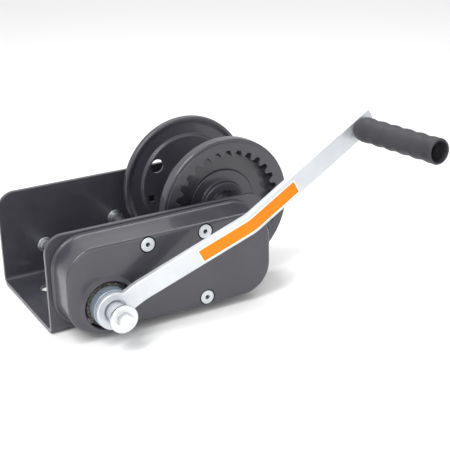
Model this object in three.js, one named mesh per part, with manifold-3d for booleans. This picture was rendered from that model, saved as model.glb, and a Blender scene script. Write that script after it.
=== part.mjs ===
// Boat trailer winch: a bent steel frame carries a two-flange drum, a gear train under a deep-drawn cover,
// a friction brake on the input shaft and a cranked handle with a turning grip.
// Millimetres, +Z up. X runs from the crank end (-X) to the drum end (+X), -Y is the crank side,
// and the origin is the centre of the base's underside.
import * as THREE from "three";
import { mergeVertices } from "three/addons/utils/BufferGeometryUtils.js";
import Module from "manifold-3d";

const wasm = await Module();
wasm.setup();

// ---- driving dimensions ----
const GAP = 0.3; // clearance between touching pieces
const LOOSE = 0.4; // clearance round a shaft inside a turning piece
const PIN_LOOSE = 0.35; // the same round a small pin or screw

const FRAME = {
  length: 270,
  width: 160,
  height: 115,
  sheet: 5,
  bend: 10,
  corner: 21,
};
const PLATE = FRAME.width / 2; // outer face of a side plate, measured from the middle
const PLATE_IN = PLATE - FRAME.sheet;
const MOUNT_HOLE = { x: 96.5, y: 30, r: 11 };

// Axis positions in the XZ plane; every shaft runs along Y.
const INPUT = { x: -81.7, z: 40 };
const STUD = { x: -41.3, z: 56.1 };
const CROSS = { x: 11.2, z: 56 };
const COUNTER = { x: 69.7, z: 57.6 };
const DRUM = { x: 99.6, z: 94.2 };
const PAWL = { x: -106, z: 88 };
const COVER_SCREWS = [
  { x: -32, z: 98.6 },
  { x: 37.8, z: 98.6 },
  { x: 37.8, z: 18.6 },
];

// Gears: teeth, module, and the layer they run in under the cover.
const PRESSURE_ANGLE = THREE.MathUtils.degToRad(25);
const TRAIN_MODULE = 3;
const TEETH = { drive: 10, stud: 19, cross: 16, counter: 23, pinion: 8, ring: 29 };
const GEAR_BACK = -82;
const GEAR_WIDTH = 12;
const RING_MODULE = 4.5;
const RING_TIP = 62;
const RING_VALLEY = 68.5;
const RING_PHASE = THREE.MathUtils.degToRad(87.4);

const SHAFT = { r: 7, farEnd: 86, nearEnd: 3 }; // nearEnd is how far a shaft stands out past its gear
const BUSH = { r: 8.8, flange: 9.8, lip: 1.4 };
const COUNTER_BUSH = { r: 12, flange: 15, lip: 3, nose: -57.5 };
const CLIP = { r: 11.5, thick: 1.5 };
const IDLER = { r: 6, head: 11, headThick: 4, end: 4, clip: 10, clipThick: 1.4 };
const PINION = { root: 14.2, tip: 20.6, back: -43, width: 13.5 };
const AXLE = {
  tube: 12,
  tubeEnd: -61.4,
  nutFace: -61.7,
  nut: 13,
  flats: 24,
  washer: 15,
  washerEnd: 83,
  head: 9.7,
  headEnd: 93,
  end: -79.5,
};

const COVER = {
  x0: -130.5,
  x1: 124,
  z0: 5.6,
  z1: 112.5,
  corner: 37,
  depth: 38.1,
  wall: 2,
  draft: 3.4,
  edge: 3.5,
  mouth: 27.5,
};
const COVER_BACK = -PLATE - GAP;
const COVER_FRONT = COVER_BACK - COVER.depth;

const SCREW = { head: 8, shank: 4, land: 0.4, cone: 3.6, length: 20 };
const STANDOFF = { r: 7, tenon: 5 };
const SOCKET = { r: 2.5, depth: 3 };

// The brake stack along the input shaft, from the gears to the crank.
const COLLAR = { r: 22, back: -94.3, front: -99.3 };
const INNER_DISC = { r: 24, back: -99.6, front: -103.6 };
const RATCHET = { tip: 29.5, root: 25, teeth: 12, back: -103.9, front: -111.9 };
const OUTER_DISC = { r: 25.6, back: -112.2, front: -118.1 };
const HUB = { r: 22.4, neck: 11, chamfer: 0.8, back: -118.5, face: -130.7, front: -154.8 };
const CAP = { r: 15.8, back: -156, front: -160, head: 6, flats: 15, bolt: 5, boltEnd: -140 };
const DRIVE_END = { front: -155.7, boreEnd: -139 };
const PAWL_PIN = { r: 5, shoulder: 8, step: -95.7, end: -114.5 };
const PAWL_CLIP = { r: 8.5, back: -111.8, front: -113.2 };
const PAWL_PLATE = { eye: 8, back: -104.4, thick: 7 };
const SPRING = { r: 7.4, wire: 0.9, turns: 2.5, leg: 15, coil: 0.75, back: -97.4, front: -102.9 };

const CRANK = {
  angle: THREE.MathUtils.degToRad(27.6),
  width: 24,
  thick: 7.2,
  eye: 20.6,
  counterbore: 12.9,
  counterboreDepth: 3,
  bend1: 33,
  bend2: 169,
  kick: 31.46,
  lean: 0.09,
  soft: 6,
  grip: 337,
  length: 357,
  front: -138.2,
};
const GRIP = { length: 124, r: 14.1, dip: 1, wave: 20, bore: 11, hollow: 101, stud: 6 };

const FAR_FLANGE_R = 83.5;
const RING_R = 82.5;
const BARREL = { r: 30, wall: 3.5 };
const RING = { web: -41.6, back: -37.6, depth: 16 }; // depth is that of the cut between the teeth
const FAR_WEB = 46;
const ROPE_HOLE = { r: 8.5, at: 49, angle: THREE.MathUtils.degToRad(144.9) };
const KEY_HOLE = { size: 8.5, at: 51, angle: THREE.MathUtils.degToRad(194) };
const DRUM_BUSH = { r: 19.2, bore: 12.35, near: [-51.5, -38], far: [46.2, 59.6] };

// ---- materials ----
const coated = new THREE.MeshStandardMaterial({ color: 0x3b3c42, roughness: 0.5, metalness: 0.35 });
const zinc = new THREE.MeshStandardMaterial({ color: 0xc9ced3, roughness: 0.32, metalness: 0.9 });
const steel = new THREE.MeshStandardMaterial({ color: 0x8f9398, roughness: 0.4, metalness: 0.9 });
const bronze = new THREE.MeshStandardMaterial({ color: 0xa98146, roughness: 0.45, metalness: 0.8 });
const lining = new THREE.MeshStandardMaterial({ color: 0x3a3734, roughness: 0.9, metalness: 0 });
const plastic = new THREE.MeshStandardMaterial({ color: 0x333438, roughness: 0.6, metalness: 0 });

// ---- helpers ----

// A closed geometry as a solid that can be joined and cut.
function solid(geometry) {
  const plain = geometry.index ? geometry.toNonIndexed() : geometry;
  const bare = new THREE.BufferGeometry();
  bare.setAttribute("position", plain.getAttribute("position"));
  const merged = mergeVertices(bare, 1e-4);
  const corners = [];
  for (let i = 0; i < merged.index.count; i += 3) {
    const [a, b, c] = [0, 1, 2].map((k) => merged.index.getX(i + k));
    if (a !== b && b !== c && a !== c) corners.push(a, b, c);
  }
  const mesh = new wasm.Mesh({
    numProp: 3,
    vertProperties: merged.attributes.position.array,
    triVerts: new Uint32Array(corners),
  });
  return new wasm.Manifold(mesh);
}

// A solid as a named mesh.
function part(name, made, material) {
  const result = made.getMesh();
  const geometry = new THREE.BufferGeometry();
  geometry.setAttribute("position", new THREE.BufferAttribute(new Float32Array(result.vertProperties), 3));
  geometry.setIndex(new THREE.BufferAttribute(new Uint32Array(result.triVerts), 1));
  const flat = geometry.toNonIndexed();
  flat.computeVertexNormals();
  const mesh = new THREE.Mesh(flat, material);
  mesh.name = name;
  return mesh;
}

// Turns a profile of [radius, y] points about the Y axis; the profile goes once round, clockwise or not.
function turned(profile, segments = 16) {
  const area = profile.reduce((sum, [r, y], i) => {
    const [nextR, nextY] = profile[(i + 1) % profile.length];
    return sum + r * nextY - nextR * y;
  }, 0);
  const ordered = area > 0 ? profile : [...profile].reverse();
  const points = ordered.map(([r, y]) => new THREE.Vector2(r, y));
  points.push(points[0].clone());
  return solid(new THREE.LatheGeometry(points, segments));
}

// A cylinder or, with a bore, a ring about the Y axis between two Y planes.
function ring(radius, bore, y0, y1, segments = 16) {
  return turned([[bore, y0], [radius, y0], [radius, y1], [bore, y1]], segments);
}

// A shape drawn in X and Z, extruded from one Y plane towards -Y.
function slab(shape, back, thick, curveSegments = 9) {
  const geometry = new THREE.ExtrudeGeometry(shape, { depth: thick, bevelEnabled: false, curveSegments });
  return solid(geometry.rotateX(Math.PI / 2).translate(0, back, 0));
}

function moved(made, at) {
  return made.translate([at.x, at.y ?? 0, at.z ?? 0]);
}

function circle(radius, x = 0, z = 0) {
  return new THREE.Shape().absarc(x, z, radius, 0, 2 * Math.PI);
}

// A rectangle with four round corners, as points in X and Z going anticlockwise.
function roundedOutline(x0, x1, z0, z1, radius, steps = 5) {
  const points = [];
  const centres = [
    [x1 - radius, z1 - radius],
    [x0 + radius, z1 - radius],
    [x0 + radius, z0 + radius],
    [x1 - radius, z0 + radius],
  ];
  centres.forEach(([x, z], corner) => {
    for (let i = 0; i <= steps; i++) {
      const angle = ((corner + i / steps) * Math.PI) / 2;
      points.push([x + radius * Math.cos(angle), z + radius * Math.sin(angle)]);
    }
  });
  return points;
}

// A solid through outlines with equal point counts, given from the back (highest Y) to the front.
function loft(levels) {
  const count = levels[0].outline.length;
  const positions = levels.flatMap(({ y, outline }) => outline.flatMap(([x, z]) => [x, y, z]));
  const flat = levels[0].outline.map(([x, z]) => new THREE.Vector2(x, z));
  const caps = THREE.ShapeUtils.triangulateShape(flat, []);
  const last = (levels.length - 1) * count;
  const faces = [];
  for (const [a, b, c] of caps) {
    faces.push(c, b, a);
    faces.push(last + a, last + b, last + c);
  }
  for (let level = 0; level < levels.length - 1; level++) {
    for (let i = 0; i < count; i++) {
      const next = (i + 1) % count;
      const back = level * count;
      const front = back + count;
      faces.push(front + next, front + i, back + i);
      faces.push(front + next, back + i, back + next);
    }
  }
  const geometry = new THREE.BufferGeometry();
  geometry.setAttribute("position", new THREE.Float32BufferAttribute(positions, 3));
  geometry.setIndex(faces);
  return solid(geometry);
}

// ---- gears ----

// An involute gear outline with a tooth centred on +X. Play widens the spaces, or the teeth if negative.
function gearShape(teeth, module, root, tip, play) {
  const pitch = (teeth * module) / 2;
  const base = pitch * Math.cos(PRESSURE_ANGLE);
  const involute = (angle) => Math.tan(angle) - angle;
  const halfAt = (r) => {
    const angle = Math.acos(Math.min(1, base / Math.max(r, base)));
    return Math.PI / (2 * teeth) - play / (2 * pitch) + involute(PRESSURE_ANGLE) - involute(angle);
  };
  const start = Math.max(root, base);
  const radii = [start, (start + tip) / 2, tip];
  const flank = radii.map((r) => [r, Math.max(halfAt(r), 0.006)]);
  if (root < base) flank.unshift([root, halfAt(base)]);
  const points = [];
  for (let tooth = 0; tooth < teeth; tooth++) {
    const centre = (2 * Math.PI * tooth) / teeth;
    const rising = flank.map(([r, half]) => [r, centre - half]);
    const falling = [...flank].reverse().map(([r, half]) => [r, centre + half]);
    for (const [r, angle] of [...rising, ...falling]) {
      points.push(new THREE.Vector2(r * Math.cos(angle), r * Math.sin(angle)));
    }
  }
  return new THREE.Shape(points);
}

function trainGear(teeth, bore) {
  const pitch = (teeth * TRAIN_MODULE) / 2;
  const root = pitch - 1.05 * TRAIN_MODULE;
  const tip = pitch + 0.8 * TRAIN_MODULE;
  const shape = gearShape(teeth, TRAIN_MODULE, root, tip, 0.25);
  shape.holes.push(circle(bore));
  return slab(shape, GEAR_BACK, GEAR_WIDTH);
}

function bearing(from, to) {
  return Math.atan2(to.z - from.z, to.x - from.x);
}

// The phase that puts a gear in mesh with a neighbour, both phases being the angle of one tooth centre.
function meshedPhase(phase, teeth, from, neighbourTeeth, to) {
  const line = bearing(from, to);
  return line + Math.PI - ((phase - line) * teeth) / neighbourTeeth + Math.PI / neighbourTeeth;
}

const ringLine = bearing(DRUM, COUNTER);
const counterPhase = ringLine + ((RING_PHASE - ringLine) * TEETH.ring) / TEETH.pinion;
const crossPhase = meshedPhase(counterPhase, TEETH.counter, COUNTER, TEETH.cross, CROSS);
const studPhase = meshedPhase(crossPhase, TEETH.cross, CROSS, TEETH.stud, STUD);
const drivePhase = meshedPhase(studPhase, TEETH.stud, STUD, TEETH.drive, INPUT);

// Turns a mesh about its own Y axis so that a tooth drawn on +X stands at the phase angle.
function phased(mesh, phase) {
  mesh.rotation.y = -phase;
  return mesh;
}

function onAxis(axis, ...meshes) {
  const group = new THREE.Group();
  group.position.set(axis.x, 0, axis.z);
  group.add(...meshes);
  return group;
}

// ---- frame and cover ----

function plateHole(axis, radius, side) {
  const back = side === "near" ? -PLATE_IN + 1 : PLATE + 1;
  return slab(circle(radius, axis.x, axis.z), back, FRAME.sheet + 2, 8);
}

// One sheet bent into a U, drawn across Y and Z and extruded along X.
function frame() {
  const inner = FRAME.bend - FRAME.sheet;
  const outline = new THREE.Shape();
  outline.moveTo(-PLATE, FRAME.height);
  outline.lineTo(-PLATE, FRAME.bend);
  outline.absarc(-PLATE + FRAME.bend, FRAME.bend, FRAME.bend, Math.PI, 1.5 * Math.PI);
  outline.lineTo(PLATE - FRAME.bend, 0);
  outline.absarc(PLATE - FRAME.bend, FRAME.bend, FRAME.bend, 1.5 * Math.PI, 2 * Math.PI);
  outline.lineTo(PLATE, FRAME.height);
  outline.lineTo(PLATE_IN, FRAME.height);
  outline.lineTo(PLATE_IN, FRAME.bend);
  outline.absarc(PLATE_IN - inner, FRAME.bend, inner, 2 * Math.PI, 1.5 * Math.PI, true);
  outline.lineTo(-PLATE_IN + inner, FRAME.sheet);
  outline.absarc(-PLATE_IN + inner, FRAME.bend, inner, 1.5 * Math.PI, Math.PI, true);
  outline.lineTo(-PLATE_IN, FRAME.height);
  const bent = new THREE.ExtrudeGeometry(outline, {
    depth: FRAME.length,
    bevelEnabled: false,
    curveSegments: 5,
  });
  const turn = new THREE.Matrix4().makeBasis(
    new THREE.Vector3(0, 1, 0),
    new THREE.Vector3(0, 0, 1),
    new THREE.Vector3(1, 0, 0),
  );
  let made = solid(bent.applyMatrix4(turn).translate(-FRAME.length / 2, 0, 0));

  const end = FRAME.length / 2;
  const corner = FRAME.corner;
  const side = new THREE.Shape();
  side.moveTo(-end - 1, -1);
  side.lineTo(end + 1, -1);
  side.lineTo(end + 1, FRAME.bend);
  side.lineTo(end, FRAME.bend);
  side.absarc(end - corner, FRAME.height - corner, corner, 0, Math.PI / 2);
  side.absarc(-end + corner, FRAME.height - corner, corner, Math.PI / 2, Math.PI);
  side.lineTo(-end, FRAME.bend);
  side.lineTo(-end - 1, FRAME.bend);
  made = made.intersect(slab(side, PLATE + 1, FRAME.width + 2, 6));

  for (const axis of [INPUT, CROSS]) {
    made = made.subtract(plateHole(axis, BUSH.r + GAP, "near"));
    made = made.subtract(plateHole(axis, BUSH.r + GAP, "far"));
  }
  made = made.subtract(plateHole(DRUM, SHAFT.r + LOOSE, "near"));
  made = made.subtract(plateHole(DRUM, SHAFT.r + LOOSE, "far"));
  made = made.subtract(plateHole(COUNTER, COUNTER_BUSH.r + GAP, "near"));
  made = made.subtract(plateHole(STUD, IDLER.r + GAP, "near"));
  made = made.subtract(plateHole(PAWL, PAWL_PIN.r + GAP, "near"));
  for (const screw of COVER_SCREWS) {
    made = made.subtract(plateHole(screw, STANDOFF.tenon + GAP, "near"));
  }

  for (const x of [-MOUNT_HOLE.x, MOUNT_HOLE.x]) {
    for (const y of [-MOUNT_HOLE.y, MOUNT_HOLE.y]) {
      const drill = new THREE.CylinderGeometry(MOUNT_HOLE.r, MOUNT_HOLE.r, FRAME.sheet + 2, 24);
      made = made.subtract(solid(drill.rotateX(Math.PI / 2).translate(x, y, FRAME.sheet / 2)));
    }
  }
  return part("frame", made, coated);
}

function coverOutline(inset) {
  const radius = COVER.corner - inset * 0.6;
  return roundedOutline(COVER.x0 + inset, COVER.x1 - inset, COVER.z0 + inset, COVER.z1 - inset, radius);
}

// A countersunk hole or screw, its face at y and its point towards +Y.
function countersunk(y, grow, length) {
  const head = SCREW.head + grow;
  const shank = SCREW.shank + grow;
  const seat = y + SCREW.land + SCREW.cone;
  return turned([
    [0, y],
    [head, y],
    [head, y + SCREW.land],
    [shank, seat],
    [shank, y + length],
    [0, y + length],
  ], 18);
}

function gearCover() {
  const wall = COVER.wall;
  const edge = COVER.edge;
  const outside = loft([
    { y: COVER_BACK, outline: coverOutline(0) },
    { y: COVER_FRONT + edge, outline: coverOutline(COVER.draft) },
    { y: COVER_FRONT + edge * 0.3, outline: coverOutline(COVER.draft + edge * 0.3) },
    { y: COVER_FRONT, outline: coverOutline(COVER.draft + edge) },
  ]);
  const inside = loft([
    { y: COVER_BACK + 1, outline: coverOutline(wall) },
    { y: COVER_FRONT + edge, outline: coverOutline(COVER.draft + wall) },
    { y: COVER_FRONT + wall, outline: coverOutline(COVER.draft + wall + 0.2) },
  ]);
  let made = outside.subtract(inside);
  made = made.subtract(moved(ring(COVER.mouth, 0, COVER_FRONT - 1, COVER_FRONT + wall + 1, 36), INPUT));
  for (const at of COVER_SCREWS) {
    made = made.subtract(moved(countersunk(COVER_FRONT - 0.01, PIN_LOOSE, SCREW.head), at));
  }
  return part("gear_cover", made, coated);
}

function coverScrew(index) {
  const socket = new THREE.CylinderGeometry(SOCKET.r, SOCKET.r, 2 * SOCKET.depth, 6);
  const screw = countersunk(COVER_FRONT, 0, SCREW.length);
  const made = screw.subtract(solid(socket.translate(0, COVER_FRONT, 0)));
  return part(`cover_screw_${index + 1}`, made, zinc);
}

// A post riveted through the near plate, with a threaded, coned front end.
function coverStandoff(index) {
  const front = COVER_FRONT + COVER.wall + GAP;
  const seat = -PLATE - GAP;
  const post = turned([
    [0, front],
    [STANDOFF.r, front],
    [STANDOFF.r, seat],
    [STANDOFF.tenon, seat],
    [STANDOFF.tenon, -PLATE_IN],
    [0, -PLATE_IN],
  ], 18);
  const made = post.subtract(countersunk(COVER_FRONT, PIN_LOOSE, SCREW.length + 1));
  return part(`cover_standoff_${index + 1}`, made, steel);
}

// ---- bearings and fixed pins ----

// A flanged sleeve in a side plate, its flange on the plate's inner face.
function plateBush(name, side) {
  const near = side === "near";
  const inner = near ? -PLATE_IN + GAP : PLATE_IN - GAP;
  const lip = near ? inner + BUSH.lip : inner - BUSH.lip;
  const outer = near ? -PLATE - GAP : PLATE;
  const bore = SHAFT.r + GAP;
  const made = turned([
    [bore, outer],
    [BUSH.r, outer],
    [BUSH.r, inner],
    [BUSH.flange, inner],
    [BUSH.flange, lip],
    [bore, lip],
  ]);
  return part(name, made, zinc);
}

function counterBush() {
  const bore = SHAFT.r + GAP;
  const outer = -PLATE - GAP;
  const inner = -PLATE_IN + GAP;
  const made = turned([
    [bore, outer],
    [COUNTER_BUSH.r, outer],
    [COUNTER_BUSH.r, inner],
    [COUNTER_BUSH.flange, inner],
    [COUNTER_BUSH.flange, inner + COUNTER_BUSH.lip],
    [COUNTER_BUSH.r, inner + COUNTER_BUSH.lip + 1],
    [COUNTER_BUSH.r, COUNTER_BUSH.nose],
    [bore, COUNTER_BUSH.nose],
  ]);
  return part("countershaft_bush", made, bronze);
}

function idlerStud() {
  const inner = -PLATE_IN + GAP;
  const head = inner + IDLER.headThick;
  const end = GEAR_BACK - GEAR_WIDTH - IDLER.end;
  const made = turned([
    [0, head],
    [IDLER.head, head],
    [IDLER.head, inner],
    [IDLER.r, inner],
    [IDLER.r, end],
    [0, end],
  ], 24);
  return part("idler_stud", made, steel);
}

function clip(name, bore, radius, y0, y1) {
  return part(name, ring(radius, bore, y0, y1, 20), steel);
}

function pawlPin() {
  const seat = -PLATE - GAP;
  const made = turned([
    [0, -PLATE_IN],
    [PAWL_PIN.r, -PLATE_IN],
    [PAWL_PIN.r, seat],
    [PAWL_PIN.shoulder, seat],
    [PAWL_PIN.shoulder, PAWL_PIN.step],
    [PAWL_PIN.r, PAWL_PIN.step],
    [PAWL_PIN.r, PAWL_PIN.end],
    [0, PAWL_PIN.end],
  ], 20);
  return part("pawl_pin", made, steel);
}

// A torsion spring round the pawl pin: a short coil between two straight legs.
class TorsionSpring extends THREE.Curve {
  getPoint(t, target = new THREE.Vector3()) {
    const lead = (1 - SPRING.coil) / 2; // share of the wire in each leg
    const share = THREE.MathUtils.clamp((t - lead) / SPRING.coil, 0, 1);
    const angle = Math.PI * (0.75 - 2 * SPRING.turns * share);
    const straight = t < 0.5 ? Math.min(0, t - lead) : Math.max(0, t - 1 + lead);
    const along = (straight / lead) * SPRING.leg;
    const x = SPRING.r * Math.cos(angle) + along * Math.sin(angle);
    const z = SPRING.r * Math.sin(angle) - along * Math.cos(angle);
    return target.set(x, SPRING.back + (SPRING.front - SPRING.back) * share, z);
  }
}

function pawlSpring() {
  const wire = new THREE.Shape();
  const sides = 5;
  for (let i = 0; i < sides; i++) {
    const angle = (2 * Math.PI * i) / sides;
    wire[i ? "lineTo" : "moveTo"](SPRING.wire * Math.cos(angle), SPRING.wire * Math.sin(angle));
  }
  const geometry = new THREE.ExtrudeGeometry(wire, { steps: 32, extrudePath: new TorsionSpring() });
  return part("pawl_spring", solid(geometry), steel);
}

// ---- drum ----

function hexagon(flats) {
  const corner = flats / Math.sqrt(3);
  const points = [0, 1, 2, 3, 4, 5].map((i) => {
    const angle = (Math.PI / 3) * i;
    return new THREE.Vector2(corner * Math.cos(angle), corner * Math.sin(angle));
  });
  return new THREE.Shape(points);
}

function axleBolt() {
  const head = slab(hexagon(AXLE.flats), AXLE.headEnd, AXLE.head);
  const made = head.add(ring(SHAFT.r, 0, AXLE.end, AXLE.headEnd - 1));
  return part("axle_bolt", made, zinc);
}

function axleNut() {
  const shape = hexagon(AXLE.flats);
  shape.holes.push(circle(SHAFT.r + LOOSE));
  return part("axle_nut", slab(shape, AXLE.nutFace, AXLE.nut), zinc);
}

function ringGearFlange() {
  const body = turned([
    [19.5, -52],
    [27.8, -52],
    [28.8, -51],
    [28.8, -44.8],
    [41, -44.8],
    [42.4, -43.4],
    [42.4, RING.web],
    [60, RING.web],
    [60, -56.1],
    [77, -56.1],
    [78, -55.2],
    [81.5, -54.4],
    [RING_R, -53.2],
    [RING_R, -43],
    [72, RING.back],
    [19.5, RING.back],
  ], 44);
  const hole = gearShape(TEETH.ring, RING_MODULE, RING_TIP, RING_VALLEY, -0.5);
  const made = body.subtract(slab(hole, RING.web, RING.depth));
  return part("ring_gear_flange", made, coated);
}

function farFlange() {
  let made = turned([
    [19.5, FAR_WEB],
    [60, FAR_WEB],
    [62.5, FAR_WEB + 3.5],
    [76, FAR_WEB + 4.5],
    [79, FAR_WEB + 2.4],
    [81.5, FAR_WEB + 1.8],
    [FAR_FLANGE_R, FAR_WEB + 5],
    [FAR_FLANGE_R, FAR_WEB + 8.4],
    [80.8, FAR_WEB + 8.4],
    [80.2, FAR_WEB + 5.4],
    [76.6, FAR_WEB + 7.6],
    [60.5, FAR_WEB + 6.4],
    [58, FAR_WEB + 3.2],
    [26, FAR_WEB + 3.2],
    [26, 60],
    [19.5, 60],
  ], 40);
  const ropeX = ROPE_HOLE.at * Math.cos(ROPE_HOLE.angle);
  const ropeZ = ROPE_HOLE.at * Math.sin(ROPE_HOLE.angle);
  made = made.subtract(slab(circle(ROPE_HOLE.r, ropeX, ropeZ), FAR_WEB + 16, 20, 8));
  const keyX = KEY_HOLE.at * Math.cos(KEY_HOLE.angle);
  const keyZ = KEY_HOLE.at * Math.sin(KEY_HOLE.angle);
  const square = new THREE.BoxGeometry(KEY_HOLE.size, 20, KEY_HOLE.size);
  made = made.subtract(solid(square.translate(keyX, FAR_WEB + 6, keyZ)));
  return part("far_flange", made, coated);
}

function drumBush(name, [y0, y1]) {
  return part(name, ring(DRUM_BUSH.r, DRUM_BUSH.bore, y0, y1), steel);
}

// ---- brake ----

function ratchetWheel() {
  const points = [];
  const step = (2 * Math.PI) / RATCHET.teeth;
  const face = THREE.MathUtils.degToRad(78.2);
  for (let tooth = 0; tooth < RATCHET.teeth; tooth++) {
    const start = face + step * tooth;
    for (const [r, share] of [[RATCHET.root, 0.02], [RATCHET.tip - 0.4, 0.86], [RATCHET.tip, 0.97]]) {
      points.push(new THREE.Vector2(r * Math.cos(start + step * share), r * Math.sin(start + step * share)));
    }
  }
  const shape = new THREE.Shape(points);
  shape.holes.push(circle(SHAFT.r + LOOSE));
  return part("ratchet_wheel", slab(shape, RATCHET.back, RATCHET.back - RATCHET.front), steel);
}

function pawl() {
  const shape = new THREE.Shape();
  shape.moveTo(28.3, -21.9);
  shape.lineTo(28.7, -14.3);
  shape.absarc(0, 0, PAWL_PLATE.eye, THREE.MathUtils.degToRad(60.9), THREE.MathUtils.degToRad(221));
  shape.holes.push(circle(PAWL_PIN.r + PIN_LOOSE));
  return part("pawl", slab(shape, PAWL_PLATE.back, PAWL_PLATE.thick), steel);
}

function pressureHub() {
  const hubBore = SHAFT.r + LOOSE;
  const made = turned([
    [hubBore, HUB.back],
    [HUB.r, HUB.back],
    [HUB.r, HUB.face + HUB.chamfer],
    [HUB.r - HUB.chamfer, HUB.face],
    [HUB.neck, HUB.face],
    [HUB.neck, HUB.front],
    [hubBore, HUB.front],
  ], 28);
  return part("pressure_hub", made, zinc);
}

function driveShaft() {
  const shaft = ring(SHAFT.r, 0, DRIVE_END.front, SHAFT.farEnd);
  const made = shaft.subtract(ring(CAP.bolt + PIN_LOOSE, 0, DRIVE_END.front - 1, DRIVE_END.boreEnd, 20));
  return part("drive_shaft", made, zinc);
}

function capBolt() {
  const head = slab(hexagon(CAP.flats), CAP.front - GAP, CAP.head);
  const made = head.add(ring(CAP.bolt, 0, CAP.front - 1, CAP.boltEnd, 20));
  return part("cap_bolt", made, zinc);
}

// ---- crank ----

// The strip's middle line as [distance from the hub, y] points, with small arcs at its two bends.
function crankLine() {
  const start = CRANK.front + CRANK.thick / 2;
  const out = start - CRANK.kick;
  const round = CRANK.soft;
  const slope = CRANK.kick / (CRANK.bend2 - CRANK.bend1);
  const line = new THREE.Path();
  line.moveTo(0, start);
  line.lineTo(CRANK.bend1 - round, start);
  line.quadraticCurveTo(CRANK.bend1, start, CRANK.bend1 + round, start - slope * round);
  line.lineTo(CRANK.bend2 - round, out + slope * round);
  line.quadraticCurveTo(CRANK.bend2, out, CRANK.bend2 + round, out + CRANK.lean * round);
  line.lineTo(CRANK.length, out + CRANK.lean * (CRANK.length - CRANK.bend2));
  return line.getPoints(4);
}

// The crank in its own axes: X along the arm, Y as the winch's, Z across the strip.
function crankArm() {
  const half = CRANK.thick / 2;
  const line = crankLine();
  const sides = line.map((point, i) => {
    const before = line[Math.max(i - 1, 0)];
    const after = line[Math.min(i + 1, line.length - 1)];
    const along = after.clone().sub(before).normalize();
    return new THREE.Vector2(-along.y, along.x).multiplyScalar(half);
  });
  const back = line.map((point, i) => point.clone().add(sides[i]));
  const front = line.map((point, i) => point.clone().sub(sides[i]));
  const outline = new THREE.Shape([...front, ...back.reverse()]);
  const strip = new THREE.ExtrudeGeometry(outline, { depth: CRANK.width, bevelEnabled: false });
  let made = solid(strip.translate(0, 0, -CRANK.width / 2));
  const faceBack = CRANK.front + CRANK.thick;
  made = made.add(ring(CRANK.eye, 0, CRANK.front, faceBack, 32));
  made = made.subtract(ring(HUB.neck + GAP, 0, CRANK.front - 1, faceBack + 1, 32));
  const seat = CRANK.front + CRANK.counterboreDepth;
  made = made.subtract(ring(CRANK.counterbore, 0, CRANK.front - 1, seat, 32));
  const drill = new THREE.CylinderGeometry(GRIP.stud + GAP, GRIP.stud + GAP, 3 * CRANK.thick, 20);
  made = made.subtract(solid(drill.applyMatrix4(gripPlace())));
  return part("crank_arm", made, zinc);
}

// Where the grip's axis crosses the middle of the strip, and the turn that stands it square to the strip.
function gripPlace() {
  const y = CRANK.front + CRANK.thick / 2 - CRANK.kick + CRANK.lean * (CRANK.grip - CRANK.bend2);
  return new THREE.Matrix4()
    .makeTranslation(CRANK.grip, y, 0)
    .multiply(new THREE.Matrix4().makeRotationZ(Math.atan(CRANK.lean)));
}

// The stud and grip are drawn about the grip's axis, with y = 0 in the middle of the strip.
function gripStud() {
  const face = CRANK.thick / 2;
  const end = -face - GRIP.hollow;
  const made = turned([
    [0, face + 2.6],
    [8, face + 2.6],
    [9.5, face + GAP],
    [GRIP.stud, face + GAP],
    [GRIP.stud, end - 1],
    [9.5, end - 1],
    [9, end - 4],
    [0, end - 5],
  ], 24);
  return part("grip_stud", made, zinc);
}

function grip() {
  const start = -CRANK.thick / 2 - 0.8;
  const end = start - GRIP.length;
  const waves = 19;
  const bore = GRIP.stud + GAP;
  const floor = start - GRIP.hollow + 0.5;
  const profile = [[bore, start], [11.8, start]];
  for (let i = 1; i < waves; i++) {
    const y = start - 1.5 - ((GRIP.length - 3) * i) / waves;
    const swell = Math.cos((2 * Math.PI * (y - start)) / GRIP.wave);
    profile.push([GRIP.r - (GRIP.dip * (1 + swell)) / 2, y]);
  }
  profile.push([12.6, end], [GRIP.bore, end], [GRIP.bore, floor], [bore, floor]);
  return part("grip", turned(profile, 16), plastic);
}

// ---- assembly ----
const winch = new THREE.Group();
winch.add(frame(), gearCover());

COVER_SCREWS.forEach((at, i) => winch.add(onAxis(at, coverScrew(i), coverStandoff(i))));

const shaftEnd = PLATE + GAP;
const gearFront = GEAR_BACK - GEAR_WIDTH;
const bore = SHAFT.r + GAP;
const looseBore = SHAFT.r + LOOSE;
const shaftClip = (name) => clip(name, bore, CLIP.r, shaftEnd, shaftEnd + CLIP.thick);
const disc = (name, size) => part(name, ring(size.r, looseBore, size.front, size.back, 28), lining);

winch.add(onAxis(
  INPUT,
  plateBush("drive_bush_near", "near"),
  plateBush("drive_bush_far", "far"),
  driveShaft(),
  shaftClip("drive_shaft_clip"),
  phased(part("drive_pinion", trainGear(TEETH.drive, bore), steel), drivePhase),
  part("brake_collar", ring(COLLAR.r, bore, COLLAR.front, COLLAR.back), steel),
  disc("inner_friction_disc", INNER_DISC),
  ratchetWheel(),
  disc("outer_friction_disc", OUTER_DISC),
  part("cap_washer", ring(CAP.r, CAP.bolt + PIN_LOOSE, CAP.front, CAP.back, 24), zinc),
  capBolt(),
));

const idlerBore = IDLER.r + PIN_LOOSE;
const idlerClip = gearFront - LOOSE;
winch.add(onAxis(
  STUD,
  idlerStud(),
  clip("idler_clip", idlerBore, IDLER.clip, idlerClip - IDLER.clipThick, idlerClip),
  phased(part("stud_idler_gear", trainGear(TEETH.stud, idlerBore), steel), studPhase),
));

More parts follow.
